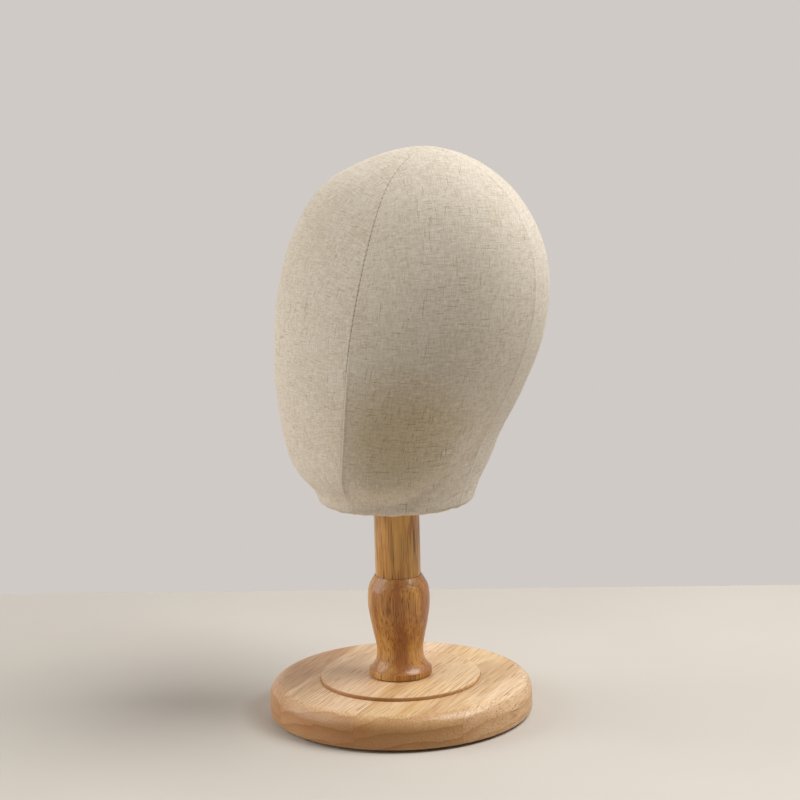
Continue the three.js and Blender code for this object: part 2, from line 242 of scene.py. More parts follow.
def weave_effect():
    """Plain weave of uneven flax threads. Threads holds metres across and along the cloth."""
    bench, given, results = effect("flax weave", ["Threads"], ["Pitch", "Slub Share"], ["Tone", "Slub", "Height"])
    wander = bench.noise(given["Threads"], 70.0, 2.0)
    drift = bench.vector("SCALE", bench.point(wander, bench.math("SUBTRACT", 1.0, wander)), 0.0009)
    across, along, _ = bench.axes(bench.vector("ADD", given["Threads"], drift))
    counts = [bench.math("DIVIDE", cut, given["Pitch"]) for cut in (across, along)]
    sets = []
    for count, crossing, run, sign, seed in (
        (counts[0], counts[1], along, 1.0, 0.0), (counts[1], counts[0], across, -1.0, 57.31)
    ):
        number = bench.math("FLOOR", count)
        beat = bench.math("ADD", bench.math("SUBTRACT", crossing, 0.5), number)
        lift = bench.math("COSINE", bench.math("MULTIPLY", beat, math.pi))
        hump = bench.math("SINE", bench.math("MULTIPLY", bench.math("FRACT", count), math.pi))
        lane = bench.math("MULTIPLY_ADD", number, 3.737, seed)
        tone = bench.noise(bench.point(lane, bench.math("MULTIPLY", run, 170.0), seed), 1.0, 2.0, 0.6)
        lane = bench.math("MULTIPLY_ADD", number, 5.113, seed)
        thick = bench.noise(bench.point(lane, bench.math("MULTIPLY", run, 62.0), 9.7), 1.0, 1.0)
        start = bench.math("SUBTRACT", 0.80, given["Slub Share"])
        slub = bench.span(thick, start, bench.math("ADD", start, 0.07), smooth=True)
        girth = bench.math("MULTIPLY_ADD", slub, 0.5, bench.math("MULTIPLY_ADD", tone, 0.4, 0.75))
        lifted = bench.math("MULTIPLY", hump, bench.math("MULTIPLY_ADD", lift, 0.34 * sign, 0.62))
        sets.append({"Tone": tone, "Slub": slub, "Height": bench.math("MULTIPLY", lifted, girth)})
    warp, weft = sets
    over = bench.math("GREATER_THAN", warp["Height"], weft["Height"])
    under = bench.math("SUBTRACT", 1.0, over)
    for name in ("Tone", "Slub"):
        bench.feed(results[name], bench.mixed(over, warp[name], under, weft[name]))
    bench.feed(results["Height"], bench.math("MAXIMUM", warp["Height"], weft["Height"]))
    return bench.tree


def timber_effect():
    """Growth rings, fibres, long streaks and pores of wood whose grain runs along X."""
    sizes = ["Ring Width", "Wander", "Pore Length", "Pore Width", "Pore Start"]
    figure = ["Ring", "Fibre", "Streak", "Pore", "Cloud"]
    bench, given, results = effect("timber figure", ["Position", "Heart"], sizes, figure)
    position = given["Position"]
    slow = bench.vector("MULTIPLY", position, (9.0, 42.0, 42.0))
    bend = bench.add("TexNoise", {"Vector": slow, "Scale": 1.0, "Detail": 2.0}, 1)
    bend = bench.vector("SCALE", bench.vector("SUBTRACT", bend, (0.5, 0.5, 0.5)), given["Wander"])
    ringed = bench.vector("SUBTRACT", bench.vector("ADD", position, bend), given["Heart"])
    ringed = bench.vector("MULTIPLY", ringed, (0.03, 1.0, 1.0))
    reach = bench.math("DIVIDE", bench.vector("LENGTH", ringed), given["Ring Width"])
    year = bench.add("TexNoise", {"W": bench.math("FLOOR", reach), "Scale": 1.37}, 0, noise_dimensions="1D")
    grown = bench.math("FRACT", reach)
    late = bench.math("SUBTRACT", bench.math("POWER", grown, 2.2), bench.span(grown, 0.93, 1.0, smooth=True))
    ring = bench.math("MULTIPLY", late, bench.math("MULTIPLY_ADD", year, 1.1, 0.35))
    x, y, z = bench.axes(position)
    lane = bench.point(
        bench.math("DIVIDE", x, given["Pore Length"]),
        bench.math("DIVIDE", y, given["Pore Width"]),
        bench.math("DIVIDE", z, given["Pore Width"]),
    )
    cloud = bench.noise(position, (12.0, 55.0, 55.0), 3.0, 0.55)
    crowd = bench.math("MULTIPLY_ADD", cloud, -0.16, given["Pore Start"])
    pore = bench.span(bench.noise(lane, 1.0), crowd, bench.math("ADD", crowd, 0.09), smooth=True)
    bench.feed(results["Ring"], bench.math("MAXIMUM", ring, 0.0))
    bench.feed(results["Fibre"], bench.noise(position, (38.0, 1500.0, 1500.0), 2.0, 0.6))
    bench.feed(results["Streak"], bench.noise(position, (14.0, 900.0, 900.0), 2.0, 0.65))
    bench.feed(results["Pore"], pore)
    bench.feed(results["Cloud"], cloud)
    return bench.tree


def handling_effect():
    """A slow unevenness, such as handling leaves on a surface."""
    bench, given, results = effect("handling", ["Position"], ["Size"], ["Patch"])
    closer = bench.vector("SCALE", given["Position"], bench.math("DIVIDE", 1.0, given["Size"]))
    bench.feed(results["Patch"], bench.span(bench.noise(closer, 1.0, 4.0, 0.55), 0.3, 0.7))
    return bench.tree


WEAVE = weave_effect()
TIMBER = timber_effect()
HANDLING = handling_effect()


def finish_of(name, **constants):
    """A new material and the bench of its nodes. constants are inputs of its shader."""
    material = bpy.data.materials.new(name)
    material.use_nodes = True
    bench = Bench(material.node_tree)
    for socket, value in constants.items():
        bench.feed(bench.shader.inputs[socket.replace("_", " ")], value)
    return material, bench


def handled(bench, place, size):
    return bench.use(HANDLING, {"Position": place, "Size": size})["Patch"]


def linen():
    """Natural flax with darker slubs and neps; a browner area low behind the left ear that is partly darker flax
    and partly painted shade; needle marks that are painted shade in the stitch holes; and a painted highlight
    along the fold of each seam allowance.
    """
    material, bench = finish_of(
        "natural_linen", Roughness=0.92, Sheen_Weight=0.1, Sheen_Roughness=0.5, Specular_IOR_Level=0.2
    )
    threads = bench.add("UVMap", uv_map="threads")
    marks = bench.add("UVMap", uv_map="marks")
    place = bench.place()
    patch = handled(bench, place, 0.05)
    # Browner, darker linen low behind the left ear: partly a darker patch of flax, partly painted shade of the
    # head's shaded lower side
    browner_and_shade = bench.span(bench.vector("DISTANCE", place, BROWNER_AND_SHADE_PLACE), *BROWNER_AND_SHADE_REACH, smooth=True)
    share = bench.math("MULTIPLY_ADD", browner_and_shade, 0.07, bench.math("MULTIPLY_ADD", patch, 0.14, 0.03))
    cloth = bench.use(WEAVE, {"Threads": threads, "Pitch": THREAD_PITCH, "Slub Share": share})
    tone = bench.math("MULTIPLY_ADD", patch, 0.06, bench.math("SUBTRACT", cloth["Tone"], 0.03))
    shades = [(0.22, (172, 152, 122)), (0.42, (207, 195, 176)), (0.58, (223, 214, 200)), (0.80, (242, 237, 229))]
    nep = bench.span(bench.noise(threads, 420.0, 1.0), 0.76, 0.82, smooth=True)
    # The marks map holds the stitch holes, darkened with painted shade, and the fold of the seam allowance,
    # lightened with a painted highlight
    stitch_hole_shade, fold_highlight, _ = bench.axes(marks)
    base = bench.stops(tone, shades)
    # The browner area multiplies the colour down, in part as painted shade
    base = bench.blend(bench.math("MULTIPLY", browner_and_shade, 0.85), base, (236, 228, 208), "MULTIPLY")
    # Slubs and neps are the flax's own colour; the light mark along the seam allowance's fold is a painted
    # highlight and the needle marks are painted shade
    for mark, weight, shade in (
        (cloth["Slub"], 0.72, (156, 122, 84)), (nep, 0.7, (128, 102, 74)),
        (fold_highlight, 0.65, (242, 237, 228)), (stitch_hole_shade, 0.6, (136, 108, 78)),
    ):
        base = bench.blend(bench.math("MULTIPLY", mark, weight), base, shade)
    bench.dress(base, bench.math("MULTIPLY_ADD", nep, 0.8, cloth["Height"]), 0.0002, 0.75)
    return material


def thread():
    material, bench = finish_of("seam_thread", Roughness=0.7)
    ply = bench.noise(bench.place(), 3500.0, 1.0)
    bench.dress(bench.stops(ply, [(0.3, (128, 98, 66)), (0.7, (178, 150, 112))]), ply, 0.0001)
    return material


def timber(
    name, turn, tilt, heart, ring_width, wander, pores, colours, roughness,
    coat=0.4, shine=0.35, weights=(0.64, 0.26, 0.20), boards=(),
):
    """Lacquered wood. turn (degrees about Z) and tilt (about Y) lay the grain along the piece. heart is where the
    growth rings are centred and wander how far they stray. pores are a pore's length and width, and how rare
    pores are. colours are pale, mid and dark wood, ring and pore. weights are those of clouds, streaks and fibres
    in the tone. boards gives the tint of each board that the piece is glued up from."""
    material, bench = finish_of(name, Coat_Weight=coat, Specular_IOR_Level=shine, Coat_Roughness=0.18)
    spot = bench.add("TexCoord", None, None).outputs
    lay = (0.0, math.radians(tilt), math.radians(-turn))
    mapped = bench.add("Mapping", {"Vector": spot["Object"], "Rotation": lay}, vector_type="POINT")
    facing = bench.add("Mapping", {"Vector": spot["Normal"], "Rotation": lay}, vector_type="POINT")
    pale, mid, dark, ring_tint, pore_tint = colours
    given = {"Ring Width": ring_width, "Wander": wander}
    given.update(zip(("Pore Length", "Pore Width", "Pore Start"), pores))
    if boards:
        lane = bench.math("DIVIDE", bench.math("SUBTRACT", bench.axes(mapped)[1], BOARD_SHIFT), BOARD_WIDTH)
        number = bench.math("FLOOR", lane)
        shift = bench.vector("MULTIPLY", bench.point(number, number, number), (0.37, 0.0, 0.0113))
        given["Position"] = bench.vector("ADD", mapped, shift)
        centre = bench.point(0.0, bench.math("MULTIPLY_ADD", number, BOARD_WIDTH, heart[1]), heart[2])
        given["Heart"] = bench.vector("ADD", centre, bench.vector("MULTIPLY", shift, (0.0, 0.0, 0.4)))
    else:
        given["Position"], given["Heart"] = bench.vector("ADD", mapped, GRAIN_START), heart
    figure = bench.use(TIMBER, given)
    cloudy, streaky, fibrous = weights
    tone = bench.math(
        "ADD",
        bench.math("MULTIPLY_ADD", figure["Cloud"], cloudy, -0.07),
        bench.mixed(figure["Streak"], streaky, figure["Fibre"], fibrous),
    )
    wood = bench.stops(tone, [(0.37, dark), (0.50, mid), (0.63, pale)])
    if boards:
        own = bench.math("MULTIPLY_ADD", number, 0.25, 0.6)
        tints = bench.stops(own, [(index * 0.25, tint) for index, tint in enumerate(boards)], "CONSTANT")
        wood = bench.blend(1.0, wood, tints, "MULTIPLY")
    end = bench.math("POWER", bench.math("ABSOLUTE", bench.axes(facing)[0]), 1.6)
    ring = bench.math("MULTIPLY", figure["Ring"], bench.math("MULTIPLY_ADD", end, 0.4, 0.42), clamp=True)
    wood = bench.blend(ring, wood, ring_tint)
    wood = bench.blend(bench.math("MULTIPLY", end, 0.72), wood, ring_tint)
    pitted = bench.math("MULTIPLY", figure["Pore"], bench.math("MULTIPLY_ADD", end, -0.3, 0.72))
    wood = bench.blend(pitted, wood, pore_tint)
    if boards:
        # The sides of the boards are darkened against their top: painted shade of surfaces that turn away from the
        # lamps
        edge = bench.math("SUBTRACT", 1.0, bench.math("ABSOLUTE", bench.axes(facing)[2]))
        wood = bench.blend(bench.math("MULTIPLY", edge, 0.5), wood, (232, 204, 162), "MULTIPLY")
        glue = bench.math("ABSOLUTE", bench.math("SUBTRACT", lane, bench.math("ROUND", lane)))
        wood = bench.blend(bench.span(glue, 0.0006, 0.0030, 0.35, 0.0, True), wood, pore_tint)
    patch = handled(bench, spot["Object"], 0.03)
    bench.feed(bench.shader.inputs["Roughness"], bench.math("MULTIPLY_ADD", patch, 0.12, roughness))
    relief = bench.math("SUBTRACT", bench.math("MULTIPLY", figure["Fibre"], 0.25), figure["Pore"])
    bench.dress(wood, relief, 0.00010, 0.45)
    return material


def felt():
    material, bench = finish_of("pressed_felt", Roughness=0.97, Sheen_Weight=0.3)
    place = bench.place()
    tone = bench.mixed(bench.noise(place, 320.0, 3.0, 0.6), 0.5, bench.noise(place, 2600.0, 3.0, 0.7, 1.5), 0.5)
    bench.dress(bench.stops(tone, [(0.32, (44, 38, 33)), (0.66, (92, 82, 72))]), tone, 0.0004, 0.8)
    return material


def metal(name, dark, bright, roughness):
    """Turned or plated metal with fine machining lines and dull patches."""
    material, bench = finish_of(name, Metallic=1.0)
    place = bench.place()
    lines = bench.noise(place, (220.0, 220.0, 9000.0), 2.0)
    patch = handled(bench, place, 0.004)
    lined = bench.math("MULTIPLY_ADD", lines, 0.15, roughness)
    bench.feed(bench.shader.inputs["Roughness"], bench.math("MULTIPLY_ADD", patch, -0.12, lined))
    bench.dress(bench.blend(patch, dark, bright), lines, 0.00003, 0.4)
    return material


def plywood():
    material, bench = finish_of("neck_board_plies", Roughness=0.8)
    place = bench.place()
    ply = bench.math("PINGPONG", bench.math("DIVIDE", bench.axes(place)[2], 0.0012), 1.0)
    fibres = bench.noise(place, (90.0, 1600.0, 1600.0), 3.0)
    tone = bench.mixed(bench.span(ply, 0.42, 0.58, smooth=True), 0.25, fibres, 0.75)
    bench.dress(bench.stops(tone, [(0.2, (150, 112, 70)), (0.8, (214, 184, 140))]), fibres, 0.0002, 0.5)
    return material


def stuffing():
    material, bench = finish_of("stuffing_fibre", Roughness=0.95)
    place = bench.place()
    tone = bench.mixed(bench.noise(place, 60.0, 3.0), 0.5, bench.noise(place, 700.0, 4.0, 0.7, 2.0), 0.5)
    bench.dress(bench.stops(tone, [(0.3, (206, 198, 182)), (0.7, (240, 236, 226))]), tone, 0.0015, 0.7)
    return material


def sleeve_plastic():
    material, bench = finish_of("sleeve_nylon", Roughness=0.45)
    place = bench.place()
    lines = bench.noise(place, (60.0, 60.0, 2400.0), 2.0)
    tone = bench.mixed(handled(bench, place, 0.01), 0.5, lines, 0.5)
    bench.dress(bench.stops(tone, [(0.2, (206, 200, 184)), (0.8, (228, 223, 210))]), lines, 0.00003, 0.4)
    return material


LINEN = linen()
THREAD = thread()
DECK_WOOD = timber(
    "pale_wood_boards", turn=GRAIN_ON_DECK, tilt=0.0, heart=(0.0, 0.060, -0.179), ring_width=0.0089, wander=0.010,
    pores=(0.022, 0.00050, 0.725), roughness=0.36, coat=0.22, shine=0.25, weights=(0.32, 0.46, 0.36),
    colours=((240, 222, 195), (229, 203, 166), (208, 170, 124), (170, 120, 70), (144, 94, 56)),
    boards=[(238, 216, 202), (255, 245, 238), (248, 238, 220), (255, 248, 242)],
)
POST_WOOD = timber(
    "honey_wood", turn=0.0, tilt=90.0, heart=(0.0, -0.046, 0.038), ring_width=0.0042, wander=0.007,
    pores=(0.020, 0.00066, 0.692), roughness=0.34,
    colours=((222, 174, 98), (204, 148, 72), (160, 98, 42), (142, 84, 36), (102, 52, 20)),
)
BLOCK_WOOD = timber(
    "block_wood", turn=0.0, tilt=90.0, heart=(0.0, 0.05, 0.03), ring_width=0.004, wander=0.006,
    pores=(0.006, 0.0006, 0.74), roughness=0.6,
    colours=((226, 196, 154), (210, 174, 128), (184, 142, 94), (176, 134, 88), (140, 102, 66)),
)
FELT = felt()
STEEL = metal("plated_steel", (150, 152, 154), (206, 208, 210), 0.3)
BRASS = metal("turned_brass", (168, 132, 66), (214, 178, 104), 0.28)
BOARD = plywood()
STUFFING = stuffing()
NYLON = sleeve_plastic()

# ---------------------------------------- handling of pieces


def choose(piece):
    bpy.ops.object.select_all(action="DESELECT")
    piece.select_set(True)
    bpy.context.view_layer.objects.active = piece


def named(name):
    """The piece that was just added, under its name."""
    piece = bpy.context.object
    piece.name = piece.data.name = name
    return piece


def edit(piece):
    choose(piece)
    bpy.ops.object.mode_set(mode="EDIT")
    bpy.ops.mesh.select_all(action="SELECT")


def close_edit():
    """Faces turned outward, and back to object mode."""
    bpy.ops.mesh.select_all(action="SELECT")
    bpy.ops.mesh.normals_make_consistent(inside=False)
    bpy.ops.object.mode_set(mode="OBJECT")


def smooth(piece, degrees):
    choose(piece)
    bpy.ops.object.shade_smooth_by_angle(angle=math.radians(degrees))


def points_of(piece):
    flat = np.empty(len(piece.data.vertices) * 3)
    piece.data.vertices.foreach_get("co", flat)
    return flat.reshape(-1, 3)


def set_points(piece, points):
    piece.data.vertices.foreach_set("co", np.ascontiguousarray(points, dtype=np.float32).ravel())
    piece.data.update()


def lay_map(piece, name, values):
    """A UV map from a pair of values for each point."""
    corners = np.empty(len(piece.data.loops), int)
    piece.data.loops.foreach_get("vertex_index", corners)
    layer = piece.data.uv_layers.new(name=name)
    layer.data.foreach_set("uv", values[corners].astype(np.float32).ravel())


def thicken(piece, thickness):
    """Gives cloth its thickness, inward, and smooth faces."""
    choose(piece)
    wall = piece.modifiers.new("cloth", "SOLIDIFY")
    wall.thickness = thickness
    wall.offset = -1
    bpy.ops.object.modifier_apply(modifier=wall.name)
    piece.data.polygons.foreach_set("use_smooth", [True] * len(piece.data.polygons))


def settle(piece, material, body, slot, *nodes):
    piece.data.materials.clear()
    piece.data.materials.append(material)
    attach(piece, body)
    if nodes:
        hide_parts(*nodes)


# ---------------------------------------- turned wood


def arc(radius, height, size, start, end, steps):
    """Points on an arc about (radius, height), angles in degrees."""
    angles = np.radians(np.linspace(start, end, steps + 1))
    return [(radius + size * math.cos(a), height + size * math.sin(a)) for a in angles]


def through(points, steps):
    """A smooth line through points, with steps between each pair."""
    p = np.array([2 * np.array(points[0]) - points[1], *points, 2 * np.array(points[-1]) - points[-2]], float)
    line = []
    for a, b, c, d in zip(p, p[1:], p[2:], p[3:]):
        for s in np.linspace(0, 1, steps, endpoint=False):
            bend, twist = 2 * a - 5 * b + 4 * c - d, 3 * b - a - 3 * c + d
            line.append(0.5 * (2 * b + (c - a) * s + bend * s**2 + twist * s**3))
    line.append(p[-2])
    return [tuple(q) for q in line]


def pull_rings(name, outline, facets):
    """A ring about the post's axis, pulled up and resized from point to point of its outline, in edit mode."""
    radius, height = outline[0]
    bpy.ops.mesh.primitive_circle_add(vertices=facets, radius=radius, fill_type="NOTHING", location=(0, 0, height))
    piece = named(name)
    bpy.ops.object.transform_apply()
    edit(piece)
    for (r0, z0), (r1, z1) in zip(outline, outline[1:]):
        bpy.ops.mesh.extrude_region_move(TRANSFORM_OT_translate={"value": (0, 0, z1 - z0)})
        bpy.ops.transform.resize(value=(r1 / r0, r1 / r0, 1), center_override=(0, 0, 0))
    return piece


def turned(name, outline, facets, ends_meet):
    """A turned body. Its ends meet in the same ring, or are closed flat."""
    piece = pull_rings(name, outline, facets)
    if ends_meet:
        bpy.ops.mesh.select_all(action="SELECT")
        bpy.ops.mesh.remove_doubles(threshold=1e-6)
    else:
        bpy.ops.mesh.edge_face_add()
        bpy.ops.mesh.select_all(action="DESELECT")
        bpy.ops.mesh.select_non_manifold(extend=False)
        bpy.ops.mesh.edge_face_add()
    close_edit()
    return piece


def turn_base():
    deck = DECK_TOP - 0.00002
    groove = DECK_TOP - 0.0005
    step_round = 0.0007
    outline = [
        (BOLT_HOLE, WASHER_SEAT),
        (WASHER_POCKET, WASHER_SEAT),
        (WASHER_POCKET, BASE_BOTTOM),
        (BASE_RADIUS * 0.6, BASE_BOTTOM),
        *arc(BASE_RADIUS - BASE_BOTTOM_ROUND, BASE_BOTTOM + BASE_BOTTOM_ROUND, BASE_BOTTOM_ROUND, -90, 0, 6),
        *arc(BASE_RADIUS - BASE_TOP_ROUND, DECK_TOP - BASE_TOP_ROUND, BASE_TOP_ROUND, 2, 90, 18),
        (BASE_RADIUS * 0.78, deck),
        (STEP_RADIUS + 0.0006, deck),
        (STEP_RADIUS + 0.0003, groove),
        (STEP_RADIUS - 0.0001, groove),
        (STEP_RADIUS, DECK_TOP + 0.0002),
        *arc(STEP_RADIUS - step_round, STEP_TOP - step_round, step_round, 0, 90, 6),
        (STEP_RADIUS * 0.5, STEP_TOP),
        (BOLT_HOLE, STEP_TOP),
        (BOLT_HOLE, WASHER_SEAT),
    ]
    piece = turned("turned_base", outline, 192, True)
    smooth(piece, 32)
    settle(piece, DECK_WOOD, "stand", "pale_wood", "base")


def turn_post():
    foot = POST_FOOT
    swell = through([(r, foot + z) for r, z in POST_SWELL], 4)
    outline = [
        (INSERT_HOLE, INSERT_HOLE_TOP),
        (INSERT_HOLE, foot),
        (0.021, foot),
        *arc(FOOT_RADIUS - 0.0008, foot + 0.0008, 0.0008, -90, 0, 4),
        *arc(FOOT_RADIUS - 0.0009, foot + 0.0042, 0.0009, 0, 62, 5),
        *swell,
        # A fine bead and a scored line where the straight part starts
        *arc(0.0168, foot + 0.0737, 0.0003, 20, 90, 4),
        (POST_RADIUS, foot + 0.07395),
        (0.01622, foot + 0.0741),
        (POST_RADIUS, foot + 0.0744),
        (POST_RADIUS, foot + 0.1),
        (POST_RADIUS, SHOULDER - 0.0004),
        (POST_RADIUS - 0.0004, SHOULDER),
        (SPIGOT_RADIUS, SHOULDER),
        (SPIGOT_RADIUS, SPIGOT_TOP - 0.001),
        (SPIGOT_RADIUS - 0.001, SPIGOT_TOP),
    ]
    piece = turned("turned_post", outline, 128, False)
    smooth(piece, 40)
    settle(piece, POST_WOOD, "stand", "honey_wood", "post")


def lay_felt():
    """A disc of pressed felt, its cut edge a little furred and uneven."""
    edge, cut = FELT_RADIUS, 0.0005
    outline = [
        (0.012, 0.00002), (edge * 0.5, 0), (edge - 0.004, 0),
        *arc(edge - cut, cut, cut, -90, 0, 3),
        *arc(edge - cut, FELT_THICKNESS - cut, cut, 0, 90, 3),
        (edge - 0.004, FELT_THICKNESS), (edge * 0.5, FELT_THICKNESS), (0.012, FELT_THICKNESS),
    ]
    piece = turned("felt_pad_disc", outline, 180, False)
    points = points_of(piece)
    turn = np.arctan2(points[:, 1], points[:, 0])
    reach = np.hypot(points[:, 0], points[:, 1])
    ragged = 0.00025 * np.sin(23 * turn) * np.sin(7 * turn + 1) + 0.00015 * np.sin(61 * turn + 2)
    points[:, :2] *= (1 + np.where(reach > edge - 0.001, ragged, 0) / edge)[:, None]
    set_points(piece, points)
    smooth(piece, 50)
    settle(piece, FELT, "stand", "felt", "felt_pad")


# ---------------------------------------- head form


def between(stations, up):
    """A smooth value between stations, each a pair of share of the height and value."""
    x, y = np.array(stations, float).T
    slope = np.empty_like(y)
    slope[1:-1] = (y[2:] - y[:-2]) / (x[2:] - x[:-2])
    slope[0], slope[-1] = (y[1] - y[0]) / (x[1] - x[0]), (y[-1] - y[-2]) / (x[-1] - x[-2])
    i = np.clip(np.searchsorted(x, up, side="right") - 1, 0, len(x) - 2)
    width = x[i + 1] - x[i]
    s = (up - x[i]) / width
    rise = y[i + 1] - y[i]
    start, end = slope[i] * width, slope[i + 1] * width
    return y[i] + start * s + (3 * rise - 2 * start - end) * s**2 + (start + end - 2 * rise) * s**3


def ease(low, high, value):
    s = np.clip((value - low) / (high - low), 0, 1)
    return s * s * (3 - 2 * s)


def reach_at(column, size, up):
    squares = [(section[0], (section[column] * size) ** 2) for section in SECTIONS]
    return np.sqrt(np.maximum(between(squares, up), 0))


def skin(up, turn):
    """The outside of the cloth at a share of the height and a turn in radians from the left ear to the back."""
    up, turn = np.broadcast_arrays(np.asarray(up, float), np.asarray(turn, float))
    power = 2 / SECTION_POWER
    sine, cosine = np.sin(turn), np.cos(turn)
    along = np.sign(sine) * np.abs(sine) ** power
    across = np.sign(cosine) * np.abs(cosine) ** power
    side = reach_at(3, HEAD_WIDTH / 2, up)
    reach = np.where(along > 0, reach_at(2, HEAD_LENGTH, up), reach_at(1, HEAD_LENGTH, up))
    ears = between(EAR_LINE, up) * HEAD_LENGTH
    crease = SEAM_CREASE * np.minimum(up / 0.06, 1) * np.clip((0.85 - up) / 0.55, 0, 1)
    x = side * ((1 - crease) * across + crease * (1 - np.abs(along)) * np.sign(across))
    y = ears + reach * along + CROWN_LEAN * ease(0.9, 1.0, up)
    height = up * HEAD_HEIGHT
    skull = np.maximum(np.hypot(x, y), 1e-9)
    neck = NECK_RADIUS + NECK_FLARE * height
    soft = NECK_BLEND * (1 + 0.25 * np.maximum(along, 0))
    necked = (skull + neck + np.hypot(skull - neck, soft)) / 2
    radius = skull + (necked - skull) * ease(*NECK_FADE, up)
    above = np.clip(RIM_ROUND - height, 0, RIM_ROUND)
    radius = radius - (RIM_ROUND - np.sqrt(RIM_ROUND**2 - above**2))
    return np.stack([x * radius / skull, y * radius / skull, HEAD_BOTTOM + height], axis=-1)


def outward(up, turn):
    """The direction square to the skin."""
    up, turn = np.broadcast_arrays(np.clip(np.asarray(up, float), 0, 1 - 1e-4), np.asarray(turn, float))
    low, high = np.maximum(up - 3e-4, 0), np.minimum(up + 3e-4, 1)
    around = skin(up, turn + 1e-3) - skin(up, turn - 1e-3)
    facing = np.cross(around, skin(high, turn) - skin(low, turn))
    return facing / np.maximum(np.linalg.norm(facing, axis=-1, keepdims=True), 1e-12)


def lengths(points):
    """Running length along a line of points."""
    steps = np.linalg.norm(np.diff(points, axis=0), axis=1)
    return np.concatenate([[0], np.cumsum(steps)])


def row_heights(spacing):
    """Shares of the height at an even spacing along a seam, from the rim to the crown."""
    rim = RIM_ROUND / HEAD_HEIGHT * (1 - np.cos(np.linspace(0, math.pi / 2, 60)))
    rest = rim[-1] + (1 - rim[-1]) * (1 - (1 - np.linspace(0, 1, 2500)[1:]) ** 2)
    fine = np.concatenate([rim, rest])
    run = lengths(skin(fine, 0.0))
    return np.interp(np.linspace(0, run[-1], int(run[-1] / spacing)), run, fine)


ROWS = row_heights(0.00060)
SEAM_RUN = [lengths(skin(ROWS, quarter * math.pi / 2)) for quarter in range(4)]


def stitch_pull(run):
    """1 where a stitch pulls the seam in, 0 between two stitches."""
    share = run / STITCH_PITCH % 1 - 0.5
    return np.exp(-((share / 0.16) ** 2))


def seam_relief(away, run, up, from_crown, ridge, needled):
    """How far the cloth stands out (or in, below 0) at a distance from a seam. ridge is the fold of the seam
    allowance on this side, needled the share to which the stitches pull the seam open."""
    tight = ease(*NEEDLED_FROM, up) * needled
    calm = ease(0.0, 0.010, from_crown)
    pull = stitch_pull(run)
    turned_in = -0.0009 * np.exp(-((away / 0.00008) ** 2))
    valley = -(0.00016 + 0.00026 * pull * tight) * np.exp(-((away / 0.0005) ** 2))
    puff = 0.00008 * (1 - pull) * np.exp(-(((away - 0.0014) / 0.0009) ** 2)) * tight
    fold = ridge * 0.00050 * (1 - 0.7 * tight) * (away / 0.0007) * np.exp(1 - away / 0.0007)
    return (turned_in + valley + puff + fold) * calm


# Where the cloth is pulled tight between the neck and the back of the head: degrees back from the ears, and height
PULL_LINE = [
    (0, 0.0065), (23.5, 0.0082), (42, 0.0100), (53, 0.0160), (60, 0.0230), (68.5, 0.0280), (75, 0.0330),
    (82.5, 0.0430), (90, 0.0500),
]


def tension(up, turn, points):
    """Soft unevenness of cloth pulled over stuffing, creases that fan out where the ear seams meet the neck, and
    the fold above PULL_LINE."""
    x, y, z = points[..., 0], points[..., 1], points[..., 2]
    wide = 0.00022 * np.sin(41 * x + 23 * z + 1) * np.sin(37 * y - 31 * z)
    close = 0.00012 * np.sin(95 * z + 60 * x) * np.sin(88 * y + 2)
    total = (wide + close) * ease(0.0, 0.1, up) * ease(1.0, 0.9, up)
    # The gores meet at a slight angle along the back and the front
    meeting = 0.0008 * np.exp(-np.abs(x) / 0.010) * (np.abs(np.sin(turn)) > 0.7)
    total = total + meeting * ease(0.04, 0.2, up) * ease(0.985, 0.9, up)
    for seam in (0.0, math.pi, 2 * math.pi):
        aside = (turn - seam) * 0.07
        rise = (up - SEAM_DIP) * HEAD_HEIGHT
        far = np.hypot(aside, rise)
        fan = np.cos(np.arctan2(rise, aside) * 17 + 1.3 * np.sin(far * 300))
        total = total + 0.00016 * fan * np.exp(-(((far - 0.013) / 0.009) ** 2)) * (rise > -0.004)
    bearing = turn % (2 * math.pi)
    back = np.degrees(np.abs(math.pi / 2 - np.abs(math.pi / 2 - bearing)))
    rise = up * HEAD_HEIGHT - np.interp(back, *np.array(PULL_LINE).T)
    ridge = 0.0025 * np.exp(-(((rise - 0.017) / 0.0095) ** 2))
    valley = 0.0013 * np.exp(-(((rise + 0.001) / 0.006) ** 2))
    faded = np.where(bearing < math.pi / 2, ease(84, 68, back), ease(48, 30, back))
    return total + (ridge - valley) * ease(2, 22, back) * faded * (bearing < math.pi)


def rim_wave(turn):
    """Bunching of the cloth where it turns under at the rim."""
    return 0.00022 * np.sin(9 * turn + 0.6) + 0.00018 * np.sin(17 * turn + 2.1) + 0.00014 * np.sin(31 * turn)


# Distances of a row's points from each seam, and the number of steps between the last of them
FINE_STEPS = np.array([0.01, 0.06, 0.14, 0.26, 0.45, 0.7, 1.0, 1.4, 1.9, 2.6, 3.6, 5.0, 7.0]) * 1e-3
MIDDLE_STEPS = 30
# Rows that turn under at the rim: how far in, and how far up
TUCK = np.array([(0.0032, 0.00080), (0.0020, 0.00078), (0.0011, 0.00060), (0.0004, 0.00025)])


def gore_turns(quarter, up):
    """Turns of one row's points, close together beside the seams, and their distances from the first seam."""
    fine = np.linspace(quarter, quarter + 1, 241) * math.pi / 2
    run = lengths(skin(up, fine))
    width = run[-1]
    near = FINE_STEPS * min(1.0, width / 0.07)
    middle = np.linspace(near[-1], width - near[-1], MIDDLE_STEPS + 1)[1:-1]
    away = np.concatenate([near, middle, width - near[::-1]])
    return np.interp(away, run, fine), away, width


def smoothed(values, reach):
    kernel = np.hanning(2 * reach + 3)[1:-1]
    padded = np.pad(values, reach, mode="edge")
    return np.convolve(padded, kernel / kernel.sum(), mode="valid")


